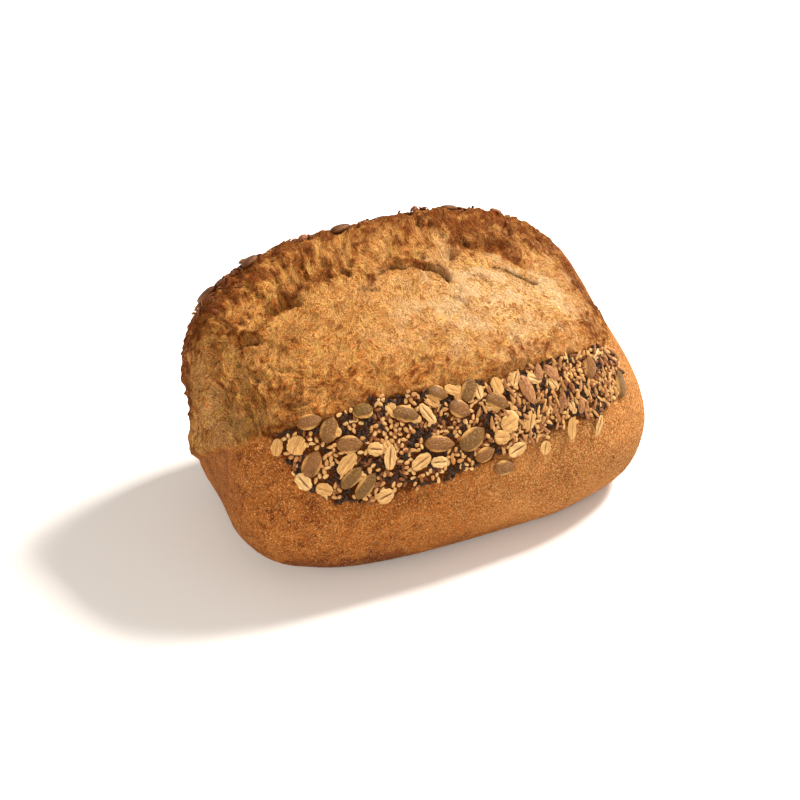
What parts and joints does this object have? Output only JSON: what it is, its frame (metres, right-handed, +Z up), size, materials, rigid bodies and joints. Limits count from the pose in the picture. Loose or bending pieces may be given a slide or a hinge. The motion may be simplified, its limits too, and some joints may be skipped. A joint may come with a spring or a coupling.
{
  "type": "seeded sourdough loaf",
  "caption": "Long baked loaf with a square heel, its score torn open along the top below a lifted ear, and a band of pumpkin, sunflower, oat and sesame topping on each side of the tear.",
  "frame": {"origin": "under the middle of the loaf's outline, on the flat face it rests on", "axes": "+X along the loaf, -Y towards the front with the wide seed band, +Z up"},
  "size_m": [0.2104, 0.1438, 0.1264],
  "materials": {
    "crust": "dry baked crust, matt, floury below and torn and fibrous above",
    "pumpkin_kernel": "toasted kernel skin, satin",
    "sunflower_kernel": "toasted ribbed kernel, matt",
    "oat_flake": "rolled flake, dry and matt"
  },
  "bodies": {
    "root": {"loaf_body": "crust", "oat_flake_back_01": "oat_flake", "oat_flake_back_02": "oat_flake", "oat_flake_back_03": "oat_flake", "oat_flake_front_01": "oat_flake", "oat_flake_front_02": "oat_flake", "oat_flake_front_03": "oat_flake", "oat_flake_front_04": "oat_flake", "oat_flake_front_05": "oat_flake", "oat_flake_front_06": "oat_flake", "oat_flake_front_07": "oat_flake", "oat_flake_front_08": "oat_flake", "oat_flake_front_09": "oat_flake", "oat_flake_front_10": "oat_flake", "oat_flake_front_11": "oat_flake", "oat_flake_front_12": "oat_flake", "oat_flake_front_13": "oat_flake", "oat_flake_front_14": "oat_flake", "oat_flake_front_15": "oat_flake", "oat_flake_front_16": "oat_flake", "oat_flake_front_17": "oat_flake", "oat_flake_front_18": "oat_flake", "pumpkin_kernel_back_01": "pumpkin_kernel", "pumpkin_kernel_back_02": "pumpkin_kernel", "pumpkin_kernel_back_03": "pumpkin_kernel", "pumpkin_kernel_back_04": "pumpkin_kernel", "pumpkin_kernel_back_05": "pumpkin_kernel", "pumpkin_kernel_back_06": "pumpkin_kernel", "pumpkin_kernel_back_07": "pumpkin_kernel", "pumpkin_kernel_back_08": "pumpkin_kernel", "pumpkin_kernel_back_09": "pumpkin_kernel", "pumpkin_kernel_back_10": "pumpkin_kernel", "pumpkin_kernel_back_11": "pumpkin_kernel", "pumpkin_kernel_back_12": "pumpkin_kernel", "pumpkin_kernel_front_01": "pumpkin_kernel", "pumpkin_kernel_front_02": "pumpkin_kernel", "pumpkin_kernel_front_03": "pumpkin_kernel", "pumpkin_kernel_front_04": "pumpkin_kernel", "pumpkin_kernel_front_05": "pumpkin_kernel", "pumpkin_kernel_front_06": "pumpkin_kernel", "pumpkin_kernel_front_07": "pumpkin_kernel", "pumpkin_kernel_front_08": "pumpkin_kernel", "pumpkin_kernel_front_09": "pumpkin_kernel", "pumpkin_kernel_front_10": "pumpkin_kernel", "pumpkin_kernel_front_11": "pumpkin_kernel", "pumpkin_kernel_front_12": "pumpkin_kernel", "pumpkin_kernel_front_13": "pumpkin_kernel", "pumpkin_kernel_front_14": "pumpkin_kernel", "pumpkin_kernel_front_15": "pumpkin_kernel", "pumpkin_kernel_front_16": "pumpkin_kernel", "pumpkin_kernel_front_17": "pumpkin_kernel", "pumpkin_kernel_front_18": "pumpkin_kernel", "sunflower_kernel_back_01": "sunflower_kernel", "sunflower_kernel_back_02": "sunflower_kernel", "sunflower_kernel_front_01": "sunflower_kernel", "sunflower_kernel_front_02": "sunflower_kernel", "sunflower_kernel_front_03": "sunflower_kernel", "sunflower_kernel_front_04": "sunflower_kernel", "sunflower_kernel_front_05": "sunflower_kernel"}
  },
  "joints": []
}
